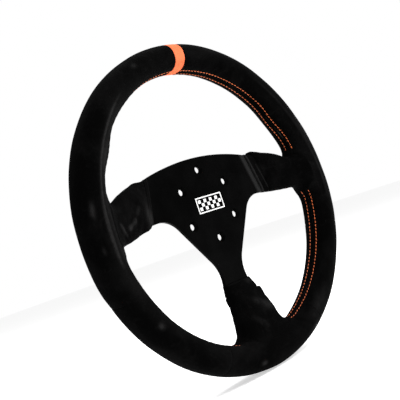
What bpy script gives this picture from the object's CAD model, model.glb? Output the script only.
import math

import bmesh
import bpy
import numpy as np
from mathutils import Matrix, Vector
from mathutils.bvhtree import BVHTree


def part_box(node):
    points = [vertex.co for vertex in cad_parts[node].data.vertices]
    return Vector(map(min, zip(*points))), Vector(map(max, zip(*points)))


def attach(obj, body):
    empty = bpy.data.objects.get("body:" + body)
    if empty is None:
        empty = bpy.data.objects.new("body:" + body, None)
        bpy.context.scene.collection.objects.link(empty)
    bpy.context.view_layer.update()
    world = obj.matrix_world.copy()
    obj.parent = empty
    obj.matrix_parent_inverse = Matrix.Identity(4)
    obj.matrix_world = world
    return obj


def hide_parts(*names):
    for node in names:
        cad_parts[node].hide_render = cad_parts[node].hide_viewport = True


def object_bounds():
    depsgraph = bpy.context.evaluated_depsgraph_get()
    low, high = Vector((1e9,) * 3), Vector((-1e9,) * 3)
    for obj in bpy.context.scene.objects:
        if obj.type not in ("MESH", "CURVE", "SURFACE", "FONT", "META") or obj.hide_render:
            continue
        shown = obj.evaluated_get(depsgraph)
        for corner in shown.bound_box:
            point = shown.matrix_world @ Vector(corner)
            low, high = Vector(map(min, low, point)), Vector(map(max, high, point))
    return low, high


# A racing steering wheel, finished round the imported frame. Everything is in metres, in the
# frame's own axes: +X is right and +Z is up as the driver sees the wheel, and +Y runs away
# from the driver. The sections follow the order of assembly.
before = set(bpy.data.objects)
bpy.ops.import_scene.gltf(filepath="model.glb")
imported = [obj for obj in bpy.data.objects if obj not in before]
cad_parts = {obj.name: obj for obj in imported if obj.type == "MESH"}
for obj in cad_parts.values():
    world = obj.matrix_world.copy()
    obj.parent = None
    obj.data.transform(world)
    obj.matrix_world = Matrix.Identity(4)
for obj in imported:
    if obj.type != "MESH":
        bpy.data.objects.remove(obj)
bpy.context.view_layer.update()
MM = 0.001

# ------------------------------------------------------------------ hoop
# A round aluminium tube, rolled into a ring and welded. The ends of the three spokes are
# welded to it, and the foam of the grip is moulded round it, so nothing of it shows.


class Finish:
    """A material in the making: each node is added by kind and fed by socket name."""

    def __init__(self, name, colour, roughness, metallic=0.0):
        self.material = bpy.data.materials.new(name)
        self.material.use_nodes = True
        self.tree = self.material.node_tree
        self.shader = self.tree.nodes["Principled BSDF"]
        self.place = self.tree.nodes.new("ShaderNodeTexCoord").outputs["Object"]
        self.set(self.shader, {"Base Color": colour, "Roughness": roughness, "Metallic": metallic})

    def set(self, node, values):
        for socket, value in values.items():
            if isinstance(value, bpy.types.NodeSocket):
                self.tree.links.new(value, node.inputs[socket])
            elif isinstance(value, tuple) and len(value) == 3 and node.inputs[socket].type == "RGBA":
                node.inputs[socket].default_value = (*value, 1.0)
            else:
                node.inputs[socket].default_value = value
        return node

    def add(self, kind, **values):
        named = {key.replace("_", " "): value for key, value in values.items()}
        return self.set(self.tree.nodes.new("ShaderNode" + kind), named)

    def noise(self, scale, detail=3.0, roughness=0.5, distortion=0.0, place=None):
        made = self.add("TexNoise", Vector=place or self.place, Scale=scale, Detail=detail)
        return self.set(made, {"Roughness": roughness, "Distortion": distortion}).outputs["Fac"]

    def stretch(self, scale, turn=(0.0, 0.0, 0.0)):
        """Object coordinates squeezed or turned, for a pattern with a direction."""
        return self.add("Mapping", Vector=self.place, Scale=scale, Rotation=turn).outputs["Vector"]

    def along(self, direction):
        """Object coordinate along one direction, in metres."""
        made = self.tree.nodes.new("ShaderNodeVectorMath")
        made.operation = "DOT_PRODUCT"
        return self.set(made, {0: self.place, 1: direction}).outputs["Value"]

    def ramp(self, value, low, high, to_low=0.0, to_high=1.0):
        made = self.add("MapRange", Value=value)
        made.interpolation_type = "SMOOTHSTEP"
        self.set(made, {"From Min": low, "From Max": high, "To Min": to_low, "To Max": to_high})
        return made.outputs["Result"]

    def math(self, operation, first, second):
        made = self.tree.nodes.new("ShaderNodeMath")
        made.operation = operation
        for socket, value in zip(made.inputs, (first, second)):
            if isinstance(value, bpy.types.NodeSocket):
                self.tree.links.new(value, socket)
            else:
                socket.default_value = value
        return made.outputs[0]

    def mix(self, factor, first, second):
        return self.add("MixRGB", Fac=factor, Color1=first, Color2=second).outputs["Color"]

    def attribute(self, name):
        made = self.tree.nodes.new("ShaderNodeAttribute")
        made.attribute_name = name
        return made.outputs["Fac"]

    def bump(self, *layers):
        """Stack bumps, each given as (height, depth in metres)."""
        normal = None
        for height, depth in layers:
            made = self.add("Bump", Height=height, Distance=depth, Strength=1.0)
            if normal is not None:
                self.set(made, {"Normal": normal})
            normal = made.outputs["Normal"]
        self.set(self.shader, {"Normal": normal})

    def on_node(self, *names):
        """Put this finish on CAD nodes."""
        for name in names:
            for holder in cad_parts[name].material_slots:
                holder.material = self.material


hoop_finish = Finish("mill_aluminium", (0.52, 0.52, 0.53), 0.38, metallic=1.0)
hoop_drawn = hoop_finish.noise(900, place=hoop_finish.stretch((1.0, 12.0, 1.0)))
hoop_finish.set(hoop_finish.shader, {"Roughness": hoop_finish.ramp(hoop_drawn, 0.3, 0.7, 0.3, 0.45)})
hoop_finish.bump((hoop_drawn, 0.02 * MM))
hoop_finish.on_node("rim_hoop")

# ------------------------------------------------------------------ spoke plate
# One 4 mm aluminium plate, cut to its outline, bent at each spoke and drilled for the hub.
# It is coated in a fine matte black, unevenly worn, and rubbed paler where the right spoke bends.
PLATE_BLACK = (0.001, 0.001, 0.001)
PLATE_WORN = (0.0022, 0.0022, 0.0022)
BEND_RUBBED = (0.017, 0.017, 0.017)
RUB_START = 68.5 * MM
RUB_FULL = 73.0 * MM
DRIVER_FACE = (2.5 * MM, 3.5 * MM)
SPOKE_SLOPE = math.radians(12.5)

plate_finish = Finish("matte_black_coat", PLATE_BLACK, 0.5)
plate_grain = plate_finish.noise(2200, detail=2)
plate_cloud = plate_finish.noise(26, detail=4, roughness=0.6)
plate_coat = plate_finish.mix(plate_finish.ramp(plate_cloud, 0.35, 0.75), PLATE_BLACK, PLATE_WORN)
along_spoke = plate_finish.along((math.cos(SPOKE_SLOPE), 0.0, math.sin(SPOKE_SLOPE)))
toward_driver = plate_finish.along((0.0, -1.0, 0.0))
bend_rub = plate_finish.ramp(along_spoke, RUB_START, RUB_FULL)
bend_rub = plate_finish.math("MULTIPLY", bend_rub, plate_finish.ramp(toward_driver, *DRIVER_FACE))
bend_rub = plate_finish.math("MULTIPLY", bend_rub, plate_finish.ramp(plate_cloud, 0.2, 0.6, 0.7, 1.0))
plate_finish.set(plate_finish.shader, {
    "Base Color": plate_finish.mix(bend_rub, plate_coat, BEND_RUBBED),
    "Roughness": plate_finish.ramp(plate_cloud, 0.3, 0.7, 0.19, 0.23),
    "Specular IOR Level": 0.012,
})
plate_finish.bump((plate_grain, 0.035 * MM))
plate_finish.on_node("spoke_plate")

# ------------------------------------------------------------------ emblem
# White ink, screen-printed on the middle of the plate: a plain chequered bar in a frame.
# The ink is slightly uneven, and thin enough that the grain of the coat shows through.
INK_WHITE = (0.84, 0.84, 0.83)
INK_THIN = (0.62, 0.62, 0.61)

ink_finish = Finish("white_ink", INK_WHITE, 0.55)
ink_cover = ink_finish.noise(1500, detail=3)
ink_finish.set(ink_finish.shader, {
    "Base Color": ink_finish.mix(ink_finish.ramp(ink_cover, 0.62, 0.8), INK_WHITE, INK_THIN),
})
ink_finish.bump((ink_cover, 0.03 * MM))
ink_finish.on_node("emblem")

# ------------------------------------------------------------------ foam
# Black polyurethane foam, moulded round the hoop and the ends of the spokes. It gives the
# grip its oval section and its swells, and the suede hides all of it.
foam_finish = Finish("moulded_foam", (0.03, 0.03, 0.03), 0.85)
foam_cells = foam_finish.noise(1800, detail=2)
foam_finish.bump((foam_cells, 0.12 * MM))
foam_finish.on_node("grip_foam")

# ------------------------------------------------------------------ suede of the rim
# Five panels of brushed black suede, each wrapped round the foam from the inside of the rim
# and sewn to itself there, with its cut ends turned under where it meets the next panel.
hoop_low, hoop_high = (np.array(corner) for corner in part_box("rim_hoop"))
foot_low, foot_high = (np.array(corner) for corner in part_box("suede_bottom"))
RIM_CENTRE = (hoop_low + hoop_high) / 2
RIM_RADIUS = (hoop_high[0] - hoop_low[0] - (hoop_high[1] - hoop_low[1])) / 2
GRIP_GIRTH = 98.0
GRIP_HALF_WIDTH = RIM_CENTRE[2] - foot_low[2] - RIM_RADIUS
GRIP_HALF_DEPTH = (foot_high[1] - foot_low[1]) / 2
GRIP_FULLNESS = 2.25
SUEDE_THICKNESS = 1.2 * MM

# Swells of the grip, in millimetres, and where they lie, in degrees above the rim's centre
PALM_SWELL = 1.0
PALM_START = 4.0
PALM_PEAK = -15.5
PALM_STEP = 5.0
THUMB_SWELL = 3.0
THUMB_MIDDLE = 31.0
THUMB_REACH = 11.0
FLAT_LOW = -12.0
FLAT_HIGH = 56.0
FLAT_DEPTH = 0.9
RIDGE_HEIGHT = 0.55
RIDGE_TURN = 96.0

# Seams, in millimetres
SEAM_DEPTH = 1.0
SEAM_WIDTH = 0.8
ROW_OFFSET = 4.25
ROW_CHANNEL = 0.4
END_ROLL = 0.35
PALM_SEAM = -20.5
LOWER_SEAM = -64.0
STRIPE_WIDTH = 13.0

# Brushed marks in the nap: angle, turn, half length and half width in millimetres, strength
NAP_MARKS = [
    (171, 57, 5, 2.2, 1.0),
    (213, 79, 2.6, 2.4, 0.9),
    (259.5, 69, 3, 2.2, 1.0),
    (114, 70, 3, 2.5, 0.6),
    (183.5, 58, 3, 1.5, 0.35),
    (152, 118, 12, 5, 0.35),
    (176, 97, 18, 1.3, 0.55),
    (333, 60, 18, 2.2, 0.7),
    (352, 57, 34, 3.5, 0.8),
    (292, 62, 9, 3.0, 0.7),
    (20, 75, 14, 5.0, 0.4),
    (300, 105, 20, 6.0, 0.3),
    (195, 92, 20, 6.0, 0.15),
]

SUEDE_BLACK = (0.0009, 0.00088, 0.00088)
SUEDE_BRUSHED = (0.0145, 0.0142, 0.0142)
STRIPE_CENTRE = 90.9


def ease(share):
    held = np.clip(share, 0.0, 1.0)
    return held * held * (3 - 2 * held)


def bell(distance, width):
    return np.exp(-(distance / width) ** 2)


def rounded(value, fullness):
    return np.sign(value) * np.abs(value) ** (2 / fullness)


def height_of(angle):
    """Degrees above the level line through the rim's centre, the same on both sides."""
    return np.degrees(np.arcsin(np.clip(np.sin(angle), -1, 1)))


def grip_place(angle, turn, inset=0.0):
    """Places and outward directions on the plain grip, for arrays of radians."""
    height = height_of(angle)
    palm = ease((PALM_START - height) / (PALM_START - PALM_PEAK))
    palm *= 1 - ease((PALM_PEAK - height) / PALM_STEP)
    thumb = ease(1 - np.abs(height - THUMB_MIDDLE) / THUMB_REACH)
    out, fore = np.cos(turn), np.sin(turn)
    across = (GRIP_HALF_WIDTH - inset) * rounded(out, GRIP_FULLNESS)
    across += PALM_SWELL * MM * palm * np.maximum(out, 0) ** 2
    across -= THUMB_SWELL * MM * thumb * np.maximum(-out, 0) ** 2
    deep = (GRIP_HALF_DEPTH - inset) * rounded(fore, GRIP_FULLNESS)
    power = 2 - 2 / GRIP_FULLNESS
    side = np.sign(out) * np.abs(out) ** power / GRIP_HALF_WIDTH
    front = np.sign(fore) * np.abs(fore) ** power / GRIP_HALF_DEPTH
    size = np.hypot(side, front)
    side, front = side / size, front / size
    radius = RIM_RADIUS + across
    place = np.stack([radius * np.cos(angle), -deep, radius * np.sin(angle)], -1) + RIM_CENTRE
    outward = np.stack([side * np.cos(angle), -front, side * np.sin(angle)], -1)
    return place, outward


def turn_beside_seam(offset):
    """Turn past the inside of the rim that lies this many millimetres to one side of it."""
    share = offset * MM / GRIP_HALF_DEPTH
    return np.sign(share) * np.arcsin(np.abs(share) ** (GRIP_FULLNESS / 2))


def beside_seam(turn):
    """Millimetres from the inside line of the rim, large on the outer half."""
    deep = GRIP_HALF_DEPTH / MM * rounded(np.sin(turn), GRIP_FULLNESS)
    return np.where(np.cos(turn) < 0, deep, 99.0)


def soft_lumps(angle, turn):
    """Slow unevenness of a hand-wrapped grip, in millimetres."""
    lumps = 0.10 * np.sin(9 * angle + 1.3) * np.cos(2 * turn + 0.4)
    lumps += 0.08 * np.sin(17 * angle + 2.1 + 1.5 * np.sin(turn))
    lumps += 0.05 * np.sin(31 * angle + 0.7) * np.sin(3 * turn + 1.1)
    return lumps


def inner_puckers(angle, turn):
    """Short creases across the inside of the rim, where the suede is gathered by its seam."""
    wander = 2.0 * np.sin(7 * angle) + 1.5 * np.sin(19 * angle + 1.0)
    ripple = np.sin(118 * angle + wander + 1.8 * np.sin(turn * 2))
    return 0.11 * ripple * bell(np.abs(beside_seam(turn)) - 7.5, 4.0)


def grip_relief(angle, turn):
    """Height of the thumb flats, ridge, seams and unevenness over the plain grip, in millimetres."""
    height = height_of(angle)
    thumb_zone = ease((height - FLAT_LOW) / 10) * ease((FLAT_HIGH - height) / 16)
    degrees = np.degrees(turn) % 360
    relief = -FLAT_DEPTH * thumb_zone * bell(degrees - 128, 24)
    relief += RIDGE_HEIGHT * thumb_zone * bell(degrees - RIDGE_TURN - 4 * np.sin(3 * angle), 6)
    beside = beside_seam(turn)
    relief -= SEAM_DEPTH * bell(beside, SEAM_WIDTH)
    relief -= ROW_CHANNEL * bell(np.abs(beside) - ROW_OFFSET, 0.8)
    return relief + soft_lumps(angle, turn) + inner_puckers(angle, turn)


def grip_nap(angle, turn):
    """How far the nap is brushed light, from 0 to 1."""
    height = height_of(angle)
    degrees = np.degrees(turn) % 360
    thumb_zone = ease((height - FLAT_LOW) / 6) * ease((FLAT_HIGH - height) / 14)
    left = (np.cos(angle) < 0) * 0.75 + 0.25
    nap = 0.95 * left * thumb_zone * bell(degrees - RIDGE_TURN - 4 * np.sin(3 * angle), 4)
    nap += 0.26 * left * thumb_zone * bell(degrees - 125, 22)
    for middle, around, length, width, strength in NAP_MARKS:
        along = (np.degrees(angle) - middle + 180) % 360 - 180
        along = np.radians(along) * RIM_RADIUS / MM
        over = ((degrees - around + 180) % 360 - 180) / 360 * GRIP_GIRTH
        nap += strength * np.exp(-(along / length) ** 2 - (over / width) ** 2)
    return np.clip(nap, 0, 1)


# How the covers of the spokes leave the rim: needed here because the rim swells to meet them.
COVER_FULLNESS = 2.6
JOIN_BLEND = 12.0 * MM
JOIN_REACH = 62.0 * MM
PLATE_MIDDLE = -2.0 * MM
SPOKES = ("left", "right", "bottom")
BEND = {"left": 73.5 * MM, "right": 73.5 * MM, "bottom": 79.0 * MM}
MOUTH = {"left": 75.5 * MM, "right": 76.0 * MM, "bottom": 81.0 * MM}
HEM_WIDTH = {"left": 7.0 * MM, "right": 7.5 * MM, "bottom": 12.0 * MM}
MOUTH_EDGES = {
    "left": (-4.0 * MM, 38.8 * MM),
    "right": (-5.0 * MM, 38.8 * MM),
    "bottom": (-16.8 * MM, 17.5 * MM),
}
JOIN_ANGLES = {"left": (185.6, 170.2), "right": (-2.8, 9.8), "bottom": (257.8, 283.8)}
JOIN_FILLET = 12.0 * MM
MOUTH_HALF_DEPTH = 5.5 * MM
JOIN_HALF_DEPTH = 13.5 * MM


def cover_lines(spoke):
    """Ends of a cover's lower and upper edge lines, as (x, z), at its mouth and at the rim."""
    if spoke == "bottom":
        mouth = [(x, -MOUTH[spoke]) for x in MOUTH_EDGES[spoke]]
    else:
        side = -1 if spoke == "left" else 1
        mouth = []
        for z in MOUTH_EDGES[spoke]:
            mouth.append((side * (MOUTH[spoke] - z * math.sin(SPOKE_SLOPE)) / math.cos(SPOKE_SLOPE), z))
    inside = RIM_RADIUS - GRIP_HALF_WIDTH
    joins = []
    for angle in JOIN_ANGLES[spoke]:
        turned = math.radians(angle)
        joins.append((inside * math.cos(turned), inside * math.sin(turned) + RIM_CENTRE[2]))
    return np.array([[mouth[0], joins[0]], [mouth[1], joins[1]]])


def cover_station(spoke, share):
    """Middle, cross direction, half height, middle depth and half depth at shares of the way out."""
    (low_start, low_end), (high_start, high_end) = cover_lines(spoke)
    share = np.asarray(share)[..., None]
    low = low_start + (low_end - low_start) * share
    high = high_start + (high_end - high_start) * share
    chord = high - low
    length = np.linalg.norm(chord, axis=-1, keepdims=True)
    left = (1 - share) * np.linalg.norm(low_end - low_start)
    near = np.clip(1 - left / JOIN_FILLET, 0, 1)
    flare = JOIN_FILLET * (1 - np.sqrt(1 - near ** 2))
    middle = (low + high) / 2
    if spoke == "bottom":
        out = -middle[..., 1]
    else:
        out = np.abs(middle[..., 0]) * math.cos(SPOKE_SLOPE) + middle[..., 1] * math.sin(SPOKE_SLOPE)
    reach = RIM_RADIUS - BEND[spoke] - (RIM_CENTRE[2] if spoke == "bottom" else 0)
    slope = (PLATE_MIDDLE - RIM_CENTRE[1]) / reach
    depth = PLATE_MIDDLE - np.maximum(0, out - BEND[spoke]) * slope
    half_depth = MOUTH_HALF_DEPTH + (JOIN_HALF_DEPTH - MOUTH_HALF_DEPTH) * share[..., 0]
    return middle, chord / length, (length / 2 + flare)[..., 0], depth, half_depth


def cover_distance(spoke, place):
    """Rough distance from places to a cover's plain surface, in metres, less than 0 inside."""
    (low_start, low_end), (high_start, high_end) = cover_lines(spoke)
    flat = place[..., [0, 2]]
    start, end = (low_start + high_start) / 2, (low_end + high_end) / 2
    share = (flat - start) @ (end - start) / ((end - start) @ (end - start))
    for _ in range(4):
        middle, cross, half, depth, half_depth = cover_station(spoke, np.clip(share, 0, 1.3))
        normal = np.stack([cross[..., 1], -cross[..., 0]], -1)
        normal *= np.sign(normal @ (end - start))[..., None]
        miss = np.sum((flat - middle) * normal, -1)
        rate = np.sum((end - start) * normal, -1)
        share = np.clip(share, 0, 1.3) + miss / rate
    middle, cross, half, depth, half_depth = cover_station(spoke, np.clip(share, 0, 1.3))
    across = np.sum((flat - middle) * cross, -1)
    deep = place[..., 1] - depth
    level = (np.abs(across / half) ** COVER_FULLNESS + np.abs(deep / half_depth) ** COVER_FULLNESS)
    level = np.maximum(level, 1e-9) ** (1 / COVER_FULLNESS)
    distance = np.hypot(across, deep) * (1 - 1 / level)
    beyond = np.linalg.norm(flat - end, axis=-1) > JOIN_REACH
    return np.where((share > 1.28) | beyond, 1.0, distance)


def grip_distance(place):
    """Rough distance from places to the plain grip, in metres, less than 0 inside."""
    local = place - RIM_CENTRE
    across = np.hypot(local[..., 0], local[..., 2]) - RIM_RADIUS
    deep = local[..., 1]
    level = np.abs(across / GRIP_HALF_WIDTH) ** GRIP_FULLNESS
    level = level + np.abs(deep / GRIP_HALF_DEPTH) ** GRIP_FULLNESS
    level = np.maximum(level, 1e-9) ** (1 / GRIP_FULLNESS)
    return np.hypot(across, deep) * (1 - 1 / level)


def join_swell(distance):
    """Swell of one surface where it runs into another, so that the two meet in a soft valley."""
    return JOIN_BLEND / 4 * np.clip(1 - np.abs(distance) / JOIN_BLEND, 0, 1) ** 2


def grip_skin(angle, turn, inset=0.0):
    """Finished outer surface of the rim's suede, and its outward directions."""
    place, outward = grip_place(angle, turn)
    relief = grip_relief(angle, turn) * MM
    inner_side = ease((0.05 - np.cos(turn)) / 0.45)
    for spoke in SPOKES:
        relief = relief + inner_side * join_swell(cover_distance(spoke, place))
    return place + outward * (relief - inset)[..., None], outward


def make_mesh(name, points, faces, attributes=None):
    """A smooth-shaded mesh object with its faces pointing outwards."""
    points = np.asarray(points).reshape(-1, 3)
    faces = np.asarray(faces)
    corners = points[faces]
    volume = np.sum(np.cross(corners[:, 0], corners[:, 1]) * corners[:, 2])
    volume += np.sum(np.cross(corners[:, 0], corners[:, 2]) * corners[:, 3])
    if volume < 0:
        faces = faces[:, ::-1]
    mesh = bpy.data.meshes.new(name)
    mesh.from_pydata(points.tolist(), [], faces.tolist())
    mesh.polygons.foreach_set("use_smooth", np.ones(len(faces), dtype=bool))
    for label, values in (attributes or {}).items():
        layer = mesh.attributes.new(label, "FLOAT", "POINT")
        layer.data.foreach_set("value", np.asarray(values, dtype=np.float32).ravel())
    mesh.update()
    piece = bpy.data.objects.new(name, mesh)
    bpy.context.scene.collection.objects.link(piece)
    return piece


def grid_faces(rows, columns, first=0):
    index = np.arange(rows * columns).reshape(rows, columns) + first
    quads = np.stack([index[:-1, :-1], index[1:, :-1], index[1:, 1:], index[:-1, 1:]], -1)
    return quads.reshape(-1, 4)


def closed_sheet(name, outer, inner, nap):
    """A sheet of suede with thickness: two grids joined round their four borders."""
    rows, columns = outer.shape[:2]
    count = rows * columns
    index = np.arange(count).reshape(rows, columns)
    rim = np.concatenate([index[0, :-1], index[:-1, -1], index[-1, :0:-1], index[:0:-1, 0]])
    ahead = np.roll(rim, -1)
    walls = np.stack([rim, ahead, ahead + count, rim + count], -1)
    faces = np.concatenate([grid_faces(rows, columns), grid_faces(rows, columns, count)[:, ::-1], walls])
    return make_mesh(name, np.concatenate([outer.reshape(-1, 3), inner.reshape(-1, 3)]), faces,
                     {"nap": np.concatenate([nap.ravel(), nap.ravel()])})


def finish_piece(piece, finish, slot, *nodes):
    piece.data.materials.append(finish.material)
    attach(piece, "root")
    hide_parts(*nodes)


def suede_finish(name, black, brushed, seed):
    """Brushed suede: short fibres, a wandering nap and lighter marks where it has been rubbed."""
    made = Finish(name, black, 0.92)
    place = made.add("Mapping", Vector=made.place, Location=(seed, seed * 0.7, seed * 0.3)).outputs["Vector"]
    fibres = made.noise(2100, detail=3, roughness=0.65, place=place)
    tufts = made.noise(640, detail=3, roughness=0.6, place=place)
    strokes = made.noise(120, detail=4, roughness=0.65, distortion=1.4, place=place)
    clouds = made.noise(24, detail=3, roughness=0.55, distortion=0.8, place=place)
    nap = made.math("ADD", made.ramp(clouds, 0.42, 0.72, 0.0, 0.12), made.ramp(strokes, 0.5, 0.78, 0.0, 0.11))
    marks = made.math("MULTIPLY", made.attribute("nap"), made.ramp(strokes, 0.25, 0.6, 0.55, 1.15))
    nap = made.math("ADD", nap, marks)
    speckle = made.math("MULTIPLY", nap, made.ramp(fibres, 0.3, 0.7, 0.55, 1.45))
    made.set(made.shader, {
        "Base Color": made.mix(made.math("MINIMUM", speckle, 1.0), black, brushed),
        "Roughness": made.ramp(tufts, 0.3, 0.7, 0.86, 0.98),
        "Specular IOR Level": 0.01,
        "Sheen Weight": 0.008,
        "Sheen Roughness": 0.4,
    })
    made.shader.inputs["Sheen Tint"].default_value = (0.75, 0.75, 0.78, 1.0)
    made.bump((strokes, 0.14 * MM), (tufts, 0.12 * MM), (fibres, 0.09 * MM))
    return made


SECTION_STEPS = 84
STEP_ALONG = 1.7 * MM
EDGE_STEPS = np.array([0.0, 0.3, 0.6, 0.95, 1.4, 2.0, 2.8, 3.8])
SEAM_STEPS = np.array([0.12, 0.35, 0.65, 1.0, 1.4, 1.9, 2.5, 3.1, 3.6, 4.0, 4.5, 4.9, 5.4, 6.0, 7.0])


def section_turns():
    """Turns round the section, from one side of the inner seam to the other, closer near it."""
    near = turn_beside_seam(SEAM_STEPS)
    middle = np.linspace(near[-1], 2 * math.pi - near[-1], SECTION_STEPS)[1:-1]
    return np.concatenate([near, middle, 2 * math.pi - near[::-1]]) - math.pi


def wrap_panel(name, start, stop, slot, finish, *nodes):
    """One panel round the rim between two angles in degrees, with its ends turned under."""
    ends = np.degrees(EDGE_STEPS * MM / RIM_RADIUS)
    count = max(2, int(math.radians(stop - start) * RIM_RADIUS / STEP_ALONG))
    inside = np.linspace(start + ends[-1], stop - ends[-1], count)[1:-1]
    angles = np.concatenate([start + ends, inside, stop - ends[::-1]])
    angle, turn = np.meshgrid(np.radians(angles), section_turns(), indexing="ij")
    from_end = np.minimum(angles - start, stop - angles) * math.radians(1) * RIM_RADIUS / MM
    roll = -END_ROLL * bell(from_end, 0.6)
    outer, outward = grip_skin(angle, turn)
    outer = outer + outward * (roll * MM)[:, None, None]
    inner = grip_place(angle, turn, SUEDE_THICKNESS)[0]
    piece = closed_sheet(name, outer, inner, grip_nap(angle, turn))
    finish_piece(piece, finish, slot, *nodes)
    return piece


rim_suede = suede_finish("rim_suede", SUEDE_BLACK, SUEDE_BRUSHED, 0.0)
HALF_STRIPE = math.degrees(math.asin(STRIPE_WIDTH / 2 * MM / RIM_RADIUS))
STRIPE_START = STRIPE_CENTRE - HALF_STRIPE
STRIPE_STOP = STRIPE_CENTRE + HALF_STRIPE
PANELS = {
    "suede_upper_left": (STRIPE_STOP, 180 - PALM_SEAM),
    "suede_lower_left": (180 - PALM_SEAM, 180 - LOWER_SEAM),
    "suede_bottom": (180 - LOWER_SEAM, 360 + LOWER_SEAM),
    "suede_lower_right": (360 + LOWER_SEAM, 360 + PALM_SEAM),
    "suede_upper_right": (PALM_SEAM, STRIPE_START),
}
for panel, (panel_start, panel_stop) in PANELS.items():
    wrap_panel(panel + "_skin", panel_start, panel_stop, "rim_suede", rim_suede, panel)

# ------------------------------------------------------------------ centre stripe
# A 13 mm band of bright orange suede, sewn between the two upper panels at the top of the
# rim, so that the driver can see when the wheels point straight ahead.
STRIPE_ORANGE = (0.88, 0.17, 0.07)
STRIPE_PALE = (0.95, 0.28, 0.14)

stripe_suede = suede_finish("stripe_suede", STRIPE_ORANGE, STRIPE_PALE, 3.0)
wrap_panel("centre_stripe_band", STRIPE_START, STRIPE_STOP, "stripe", stripe_suede, "centre_stripe")

# ------------------------------------------------------------------ thread of the rim's seam
# Two rows of orange twisted polyester, one each side of the seam round the inside of the
# rim. Each stitch is a short arc that goes down into its two needle holes.
STITCH_PITCH = 3.9 * MM
STITCH_LENGTH = 3.1 * MM
STITCH_RADIUS = 0.42 * MM
STITCH_RISE = 0.55 * MM
STITCH_SLANT = 7.0
STITCH_SEED = 11
THREAD_ORANGE = (0.93, 0.20, 0.035)
THREAD_SHADE = (0.55, 0.09, 0.02)


def stitch_tree():
    """Geometry nodes that lay one bent, capped thread at every pitch along an edge path."""
    tree = bpy.data.node_groups.new("stitch_row", "GeometryNodeTree")
    face = tree.interface
    face.new_socket("Geometry", in_out="INPUT", socket_type="NodeSocketGeometry")
    for label in ("Pitch", "Length", "Radius", "Rise", "Slant"):
        face.new_socket(label, in_out="INPUT", socket_type="NodeSocketFloat")
    face.new_socket("Seed", in_out="INPUT", socket_type="NodeSocketInt")
    face.new_socket("Material", in_out="INPUT", socket_type="NodeSocketMaterial")
    face.new_socket("Geometry", in_out="OUTPUT", socket_type="NodeSocketGeometry")
    nodes, links = tree.nodes, tree.links

    def add(kind, feeds=(), **settings):
        made = nodes.new(kind)
        for key, value in settings.items():
            setattr(made, key, value)
        for socket, value in dict(feeds).items():
            if isinstance(value, bpy.types.NodeSocket):
                links.new(value, made.inputs[socket])
            else:
                made.inputs[socket].default_value = value
        return made

    given = add("NodeGroupInput").outputs
    path = add("GeometryNodeMeshToCurve", {"Mesh": given["Geometry"]}).outputs["Curve"]
    path = add("GeometryNodeResampleCurve", {"Curve": path, "Length": given["Pitch"]}, mode="LENGTH")
    half = add("ShaderNodeMath", {0: given["Length"], 1: 0.5}, operation="MULTIPLY").outputs[0]
    back = add("ShaderNodeMath", {0: half, 1: -1.0}, operation="MULTIPLY").outputs[0]
    sunk = add("ShaderNodeMath", {0: given["Rise"], 1: -1.0}, operation="MULTIPLY").outputs[0]
    top = add("ShaderNodeMath", {0: given["Rise"], 1: 1.4}, operation="MULTIPLY").outputs[0]
    start = add("ShaderNodeCombineXYZ", {"X": back, "Z": sunk}).outputs[0]
    middle = add("ShaderNodeCombineXYZ", {"Z": top}).outputs[0]
    end = add("ShaderNodeCombineXYZ", {"X": half, "Z": sunk}).outputs[0]
    arc = add("GeometryNodeCurveQuadraticBezier", {
        "Resolution": 6, "Start": start, "Middle": middle, "End": end})
    ring = add("GeometryNodeCurvePrimitiveCircle", {"Resolution": 6, "Radius": given["Radius"]})
    stitch = add("GeometryNodeCurveToMesh", {
        "Curve": arc.outputs["Curve"], "Profile Curve": ring.outputs["Curve"], "Fill Caps": True})
    smooth = add("GeometryNodeSetShadeSmooth", {"Geometry": stitch.outputs["Mesh"]})
    tangent = add("GeometryNodeInputTangent").outputs["Tangent"]
    outward = add("GeometryNodeInputNamedAttribute", {"Name": "outward"}, data_type="FLOAT_VECTOR")
    along = add("FunctionNodeAlignRotationToVector", {"Vector": tangent}, axis="X")
    upright = add("FunctionNodeAlignRotationToVector", {
        "Rotation": along.outputs["Rotation"],
        "Vector": outward.outputs["Attribute"]}, axis="Z", pivot_axis="X")
    low = add("ShaderNodeMath", {0: given["Slant"], 1: 0.4}, operation="MULTIPLY").outputs[0]
    high = add("ShaderNodeMath", {0: given["Slant"], 1: 1.6}, operation="MULTIPLY").outputs[0]
    lean = add("FunctionNodeRandomValue", {2: low, 3: high, "Seed": given["Seed"]}, data_type="FLOAT")
    lean = add("ShaderNodeMath", {0: lean.outputs[1], 1: math.radians(1)}, operation="MULTIPLY").outputs[0]
    lean = add("ShaderNodeCombineXYZ", {"Z": lean}).outputs[0]
    turned = add("FunctionNodeRotateRotation", {
        "Rotation": upright.outputs["Rotation"], "Rotate By": lean}, rotation_space="LOCAL")
    laid = add("GeometryNodeInstanceOnPoints", {
        "Points": path.outputs["Curve"], "Instance": smooth.outputs["Geometry"],
        "Rotation": turned.outputs["Rotation"]})
    real = add("GeometryNodeRealizeInstances", {"Geometry": laid.outputs["Instances"]})
    coloured = add("GeometryNodeSetMaterial", {
        "Geometry": real.outputs["Geometry"], "Material": given["Material"]})
    links.new(coloured.outputs["Geometry"], add("NodeGroupOutput").inputs["Geometry"])
    return tree


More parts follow.
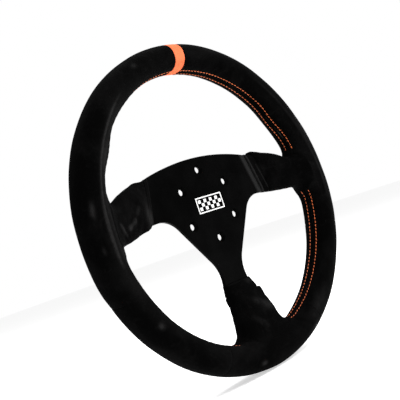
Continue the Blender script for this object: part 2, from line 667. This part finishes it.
def sew(name, places, outward, tree, sizes):
    """Sew one row along a path and bake it into a plain mesh."""
    mesh = bpy.data.meshes.new(name + "_path")
    count = len(places)
    mesh.from_pydata(places.tolist(), [(i, i + 1) for i in range(count - 1)], [])
    layer = mesh.attributes.new("outward", "FLOAT_VECTOR", "POINT")
    layer.data.foreach_set("vector", outward.astype(np.float32).ravel())
    path = bpy.data.objects.new(name + "_path", mesh)
    bpy.context.scene.collection.objects.link(path)
    nodes = path.modifiers.new("stitches", "NODES")
    nodes.node_group = tree
    sockets = {item.name: item.identifier for item in tree.interface.items_tree if item.in_out == "INPUT"}
    for label, value in sizes.items():
        nodes[sockets[label]] = value
    bpy.context.view_layer.update()
    sewn = path.evaluated_get(bpy.context.evaluated_depsgraph_get())
    row = bpy.data.objects.new(name, bpy.data.meshes.new_from_object(sewn))
    bpy.data.objects.remove(path)
    bpy.context.scene.collection.objects.link(row)
    return row


def thread_finish(name, light, shade):
    made = Finish(name, light, 0.6)
    lay = made.noise(2600, detail=2, place=made.stretch((1.0, 2.5, 1.0), (0.6, 0.3, 0.4)))
    made.set(made.shader, {
        "Base Color": made.mix(made.ramp(lay, 0.35, 0.65), shade, light),
        "Sheen Weight": 0.15,
    })
    made.bump((lay, 0.12 * MM))
    return made


stitches = stitch_tree()
orange_thread = thread_finish("orange_thread", THREAD_ORANGE, THREAD_SHADE)
stitch_sizes = {
    "Pitch": STITCH_PITCH, "Length": STITCH_LENGTH, "Radius": STITCH_RADIUS,
    "Rise": STITCH_RISE, "Slant": STITCH_SLANT, "Seed": STITCH_SEED, "Material": orange_thread.material,
}
ABOVE_SPOKE = 14.8
BELOW_SPOKE = -5.8
BESIDE_FOOT = 73.4
ROWS = {
    "upper_right": (ABOVE_SPOKE, STRIPE_START),
    "upper_left": (STRIPE_STOP, 180 - ABOVE_SPOKE),
    "lower_left": (180 - BELOW_SPOKE, 180 + BESIDE_FOOT),
    "lower_right": (360 - BESIDE_FOOT, 360 + BELOW_SPOKE),
}
for row, (row_start, row_stop) in ROWS.items():
    for side, offset in (("front", ROW_OFFSET), ("back", -ROW_OFFSET)):
        row_angle = np.radians(np.linspace(row_start + 0.6, row_stop - 0.6, 160))
        row_turn = np.full_like(row_angle, math.pi - turn_beside_seam(offset))
        row_places, row_outward = grip_skin(row_angle, row_turn)
        row_name = f"thread_{row}_{side}"
        sewn_row = sew(row_name + "_stitches", row_places, row_outward, stitches, stitch_sizes)
        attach(sewn_row, "root")
        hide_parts(row_name)

# ------------------------------------------------------------------ spoke covers
# Each spoke has a sleeve of the same suede, folded into a flat hem where it lies on the plate
# and padded from there to the rim. It is drawn tight, closed down its back and sewn to the rim.
HEM_FULLNESS = 5.0
HEM_HALF_DEPTH = 4.5 * MM
CREASE_DEPTH = 0.9
CREASE_WIDTH = 0.9
LIP_DEPTH = 2.4
LIP_RUB = {"left": 0.2, "right": 0.9, "bottom": 0.1}
SLEEVE_STEPS = 140
FACE_SWELL = 1.3

# Swells of the two edges past the crease, in millimetres: beside the crease, then further out,
# for the edge that is lower (or left) and the one that is upper (or right)
EDGE_SWELLS = {
    "left": ((2.6, 1.6), (0.8, 4.0)),
    "right": ((0.2, 0.6), (4.2, 5.0)),
    "bottom": ((0.0, -0.6), (2.8, 3.0)),
}

# Folds on the driver's side, as (x, z) ends in millimetres, height and half width
COVER_FOLDS = {
    "left": [
        ((-129.6, 2.6), (-124.0, -7.1), 0.9, 1.8),
        ((-118.5, -2.4), (-109.0, 2.8), 1.0, 2.4),
        ((-109.0, 2.8), (-98.0, 13.0), 0.5, 2.6),
    ],
    "right": [
        ((77.9, 25), (84.9, -1.6), 0.9, 0.65),
    ],
    "bottom": [
        ((3, -103), (22, -116), 0.5, 4.0),
        ((-10, -118), (0, -128), 0.25, 3.5),
    ],
}

# Lighter nap on the driver's side, as (x, z), half width and half height, and strength
COVER_RUBS = {
    "left": [((-83, 3), 5.0, 10.0, 0.9), ((-118, -2), 3.0, 2.5, 0.5), ((-127, -2), 1.6, 4.5, 0.35)],
    "right": [],
    "bottom": [((12, -84), 4.0, 3.0, 0.45), ((16, -112), 7.0, 5.0, 0.3)],
}


def hem_share(spoke):
    low_line = cover_lines(spoke)[0]
    return HEM_WIDTH[spoke] / np.linalg.norm(low_line[1] - low_line[0])


def even_turns(fullness):
    """Turns spaced so that the points of a squarish loop lie about evenly along it."""
    fine = np.linspace(0, 2 * math.pi, 4001)
    x, y = 4 * rounded(np.cos(fine), fullness), rounded(np.sin(fine), fullness)
    run = np.concatenate([[0], np.cumsum(np.hypot(np.diff(x), np.diff(y)))])
    return np.interp(np.linspace(0, run[-1], SLEEVE_STEPS + 1)[:-1], run, fine)


def edge_swell(spoke, past, turns):
    """How far a cover's edges stand out past its straight lines; past is 0 at the crease, 1 at the rim."""
    swell = np.zeros(len(turns))
    for (near, far), side in zip(EDGE_SWELLS[spoke], (-1, 1)):
        if past < 0:
            amount = near * ease(1 + past * (1 - hem_share(spoke)) / hem_share(spoke)) * (side < 0)
        else:
            growth = near + (far - near) * ease(past / 0.22)
            fade = 1 - ease((past - 0.45) / 0.5)
            amount = growth * fade * ease(past / 0.02 + (side < 0))
        swell += amount * np.maximum(side * np.cos(turns), 0) ** 1.5
    return swell


def cover_marks(spoke, places, outward):
    """Height of the folds on the driver's side, in millimetres, and how light the nap is."""
    relief = np.zeros(len(places))
    nap = np.zeros(len(places))
    flat = places[:, [0, 2]] / MM
    facing = np.clip(-outward[:, 1], 0, 1)
    for start, end, height, width in COVER_FOLDS[spoke]:
        start, run = np.array(start), np.array(end) - np.array(start)
        share = np.clip((flat - start) @ run / (run @ run), 0, 1)
        away = np.linalg.norm(flat - start - share[:, None] * run, axis=1)
        relief += height * (bell(away, width) - 0.5 * bell(away - 2 * width, width)) * facing
    for place, width, height, strength in COVER_RUBS[spoke]:
        away = (flat - np.array(place)) / (width, height)
        nap += strength * np.exp(-np.sum(away ** 2, axis=1)) * facing
    return relief, np.clip(nap + 0.55 * np.clip(relief, 0, 1), 0, 1)


def sleeve_ring(spoke, out, lift):
    """One loop round a spoke, some metres out past the mouth, lifted off the plain surface in millimetres."""
    low_line = cover_lines(spoke)[0]
    share = out / np.linalg.norm(low_line[1] - low_line[0])
    past = (share - hem_share(spoke)) / (1 - hem_share(spoke))
    middle, cross, half_height, depth, half_depth = cover_station(spoke, share)
    padding = float(ease(past * 4))
    hem_part = min(max(share / hem_share(spoke), 0.0), 1.0)
    fullness = HEM_FULLNESS + (COVER_FULLNESS - HEM_FULLNESS) * padding
    half_depth = half_depth if past > 0 else HEM_HALF_DEPTH + (half_depth - HEM_HALF_DEPTH) * hem_part
    turns = even_turns(COVER_FULLNESS)
    side, fore = np.cos(turns), np.sin(turns)
    across = half_height * rounded(side, fullness) + edge_swell(spoke, past, turns) * MM * np.sign(side)
    deep = half_depth * rounded(fore, fullness)
    deep = deep + FACE_SWELL * MM * padding * (1 - ease((past - 0.5) / 0.5)) * np.maximum(fore, 0) ** 2
    flat = middle[None, :] + cross[None, :] * across[:, None]
    places = np.stack([flat[:, 0], depth - deep, flat[:, 1]], -1)
    power = 2 - 2 / fullness
    over = np.sign(side) * np.abs(side) ** power / half_height
    front = np.sign(fore) * np.abs(fore) ** power / half_depth
    size = np.hypot(over, front)
    over, front = over / size, front / size
    outward = np.stack([cross[0] * over, -front, cross[1] * over], -1)
    folds, nap = cover_marks(spoke, places, outward)
    drawn = 0.10 * np.sin(37 * share + 3 * np.cos(turns)) + 0.08 * np.sin(5 * turns + 11 * share)
    outside = lift > -SUEDE_THICKNESS / MM + 0.1
    folds = (folds + drawn) * padding * outside
    relief = (folds + lift) * MM + join_swell(grip_distance(places)) * outside
    return places + outward * relief[:, None], nap


SLEEVE_REACH = 1.12


def closed_tube(name, rings, naps):
    """Loops joined in order and back to the first, so that the sleeve has walls all round."""
    rows, columns = len(rings), len(rings[0])
    index = np.arange(rows * columns).reshape(rows, columns)
    ahead, beside = np.roll(index, -1, 0), np.roll(index, -1, 1)
    both = np.roll(ahead, -1, 1)
    faces = np.stack([index, ahead, both, beside], -1).reshape(-1, 4)
    return make_mesh(name, np.concatenate(rings), faces, {"nap": np.concatenate(naps)})


cover_suede = suede_finish("cover_suede", SUEDE_BLACK, SUEDE_BRUSHED, 7.0)
for spoke in SPOKES:
    hem = HEM_WIDTH[spoke]
    cover_low = cover_lines(spoke)[0]
    reach = np.linalg.norm(cover_low[1] - cover_low[0]) * SLEEVE_REACH
    lip = [(1.6, -LIP_DEPTH), (0.5, -2.2), (0.1, -1.5), (0.0, -0.9), (0.12, -0.4), (0.45, -0.08), (1.0, 0.0)]
    loops = []
    for step, lift in lip:
        ring, ring_nap = sleeve_ring(spoke, step * MM, lift)
        loops.append((ring, np.maximum(ring_nap, LIP_RUB[spoke])))
    beside_crease = np.array([-2.2, -1.5, -1.0, -0.6, -0.3, 0.0, 0.3, 0.6, 1.0, 1.5, 2.2, 3.0]) * MM
    outs = np.concatenate([np.linspace(1.6 * MM, hem - 2.6 * MM, 6), hem + beside_crease])
    outs = np.concatenate([outs, np.linspace(hem + 4 * MM, reach, 60)])
    for out in outs:
        loops.append(sleeve_ring(spoke, out, -CREASE_DEPTH * float(bell((out - hem) / MM, CREASE_WIDTH))))
    for out in outs[::-1]:
        thickness = LIP_DEPTH if out < hem else SUEDE_THICKNESS / MM
        loops.append(sleeve_ring(spoke, out, -thickness))
    sleeve = closed_tube(f"spoke_cover_{spoke}_sleeve", *zip(*loops))
    finish_piece(sleeve, cover_suede, "cover_suede", f"spoke_cover_{spoke}", f"spoke_hem_{spoke}")

# ------------------------------------------------------------------ foam of the spokes
# Foam moulded round the tail of each spoke, between it and the sleeve. It keeps the shape of
# its mould, except where the tight sleeve presses it in along the edges of the spoke.
FOAM_CLEARANCE = 0.1
FOAM_WELD = 0.01 * MM
FOAM_MOST = 5.0 * MM

for spoke in SPOKES:
    foam_node = f"spoke_foam_{spoke}"
    sleeve_length = np.linalg.norm(np.diff(cover_lines(spoke)[0], axis=0))
    lining = []
    for out in np.linspace(0.0, SLEEVE_REACH * sleeve_length, 80):
        lining.append(sleeve_ring(spoke, out, -SUEDE_THICKNESS / MM - FOAM_CLEARANCE)[0])
    loop = np.arange(len(lining) * SLEEVE_STEPS).reshape(len(lining), SLEEVE_STEPS)
    beside = np.roll(loop, -1, 1)
    squares = np.stack([loop[:-1], loop[1:], beside[1:], beside[:-1]], -1).reshape(-1, 4)
    wall = BVHTree.FromPolygons(np.concatenate(lining).tolist(), squares.tolist())
    middle = Vector(np.mean(np.concatenate(lining), axis=0))
    core = bpy.data.objects.new(f"{foam_node}_core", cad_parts[foam_node].data.copy())
    core.data.materials.clear()
    bpy.context.scene.collection.objects.link(core)
    shape = bmesh.new()
    shape.from_mesh(core.data)
    bmesh.ops.remove_doubles(shape, verts=shape.verts, dist=FOAM_WELD)
    for vertex in shape.verts:
        touch, away, _, _ = wall.find_nearest(vertex.co)
        if away.dot(touch - middle) < 0:
            away.negate()
        proud = (vertex.co - touch).dot(away)
        if 0 < proud < FOAM_MOST:
            vertex.co -= away * proud
    shape.to_mesh(core.data)
    shape.free()
    finish_piece(core, foam_finish, "foam", foam_node)

# ------------------------------------------------------------------ closing seams
# The two edges of each sleeve are drawn together down the back of the spoke with the same
# stitch in black thread, out of the driver's sight.
THREAD_BLACK = (0.004, 0.004, 0.004)
THREAD_BLACK_SHADE = (0.0015, 0.0015, 0.0015)

black_thread = thread_finish("black_thread", THREAD_BLACK, THREAD_BLACK_SHADE)
for spoke in SPOKES:
    cover_low = cover_lines(spoke)[0]
    length = np.linalg.norm(cover_low[1] - cover_low[0])
    seam_places = []
    for seam_out in np.linspace(HEM_WIDTH[spoke] + 2 * MM, length * 0.8, 40):
        ring, _ = sleeve_ring(spoke, seam_out, 0.0)
        behind = ring[len(ring) // 2:]
        seam_places.append(behind[len(behind) // 2])
    seam_outward = np.tile([0.0, 1.0, 0.0], (len(seam_places), 1))
    seam_name = f"closing_thread_{spoke}"
    seam_row = sew(seam_name + "_stitches", np.array(seam_places), seam_outward, stitches,
                   {**stitch_sizes, "Material": black_thread.material})
    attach(seam_row, "root")
    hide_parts(seam_name)

# ------------------------------------------------------------------ floor, light and camera
# The wheel stands on its rim on a pale studio sweep, under large soft lights in front of it,
# above it and to its right.
FLOOR_WHITE = (0.93, 0.93, 0.93)
FLOOR_GLOW = 0.6
FLOOR_REACH = 6.0
SKY_LIGHT = 0.4
LAMPS = [
    ("front_light", (0.1, -1.0, 1.1), 0.7, 18),
    ("top_light", (0.6, 0.3, 1.4), 0.9, 15),
    ("right_light", (1.5, -0.15, 0.25), 0.6, 16),
]
CAMERA_PLACE = (-0.495, -0.5016, -0.0259)
CAMERA_RIGHT = (0.6886, -0.6484, -0.3247)
CAMERA_UP = (0.2034, -0.2572, 0.9448)
CAMERA_LENS = 64.2

floor_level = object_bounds()[0][2]
floor_mesh = bpy.data.meshes.new("floor")
floor_signs = ((-1, -1), (1, -1), (1, 1), (-1, 1))
floor_corners = [(x * FLOOR_REACH, y * FLOOR_REACH, floor_level) for x, y in floor_signs]
floor_mesh.from_pydata(floor_corners, [], [(0, 1, 2, 3)])
floor = bpy.data.objects.new("floor", floor_mesh)
bpy.context.scene.collection.objects.link(floor)
floor_finish = Finish("pale_floor", FLOOR_WHITE, 0.9)
floor_finish.set(floor_finish.shader, {"Emission Color": FLOOR_WHITE, "Emission Strength": FLOOR_GLOW})
floor_mesh.materials.append(floor_finish.material)

world = bpy.data.worlds.new("studio")
world.use_nodes = True
sky = world.node_tree.nodes
sky_strength = sky.new("ShaderNodeMapRange")
sky_strength.inputs["To Min"].default_value = SKY_LIGHT
sky_strength.inputs["To Max"].default_value = 1.0
seen = sky.new("ShaderNodeLightPath").outputs["Is Camera Ray"]
world.node_tree.links.new(seen, sky_strength.inputs["Value"])
world.node_tree.links.new(sky_strength.outputs["Result"], sky["Background"].inputs["Strength"])
sky["Background"].inputs["Color"].default_value = (1.0, 1.0, 1.0, 1.0)
bpy.context.scene.world = world

for name, place, size, power in LAMPS:
    lamp = bpy.data.lights.new(name, "AREA")
    lamp.size = size
    lamp.energy = power
    holder = bpy.data.objects.new(name, lamp)
    holder.location = place
    holder.rotation_euler = (-Vector(place)).to_track_quat("-Z", "Y").to_euler()
    bpy.context.scene.collection.objects.link(holder)

camera = bpy.data.objects.new("camera", bpy.data.cameras.new("camera"))
camera.data.lens = CAMERA_LENS
camera.data.sensor_width = 36.0
camera.data.clip_start = 0.01
axes = (CAMERA_RIGHT, CAMERA_UP, np.cross(CAMERA_RIGHT, CAMERA_UP))
rows = [[axis[row] for axis in axes] + [CAMERA_PLACE[row]] for row in range(3)]
camera.matrix_world = Matrix(rows + [[0, 0, 0, 1]])
bpy.context.scene.collection.objects.link(camera)
bpy.context.scene.camera = camera
bpy.context.scene.view_settings.view_transform = "Standard"
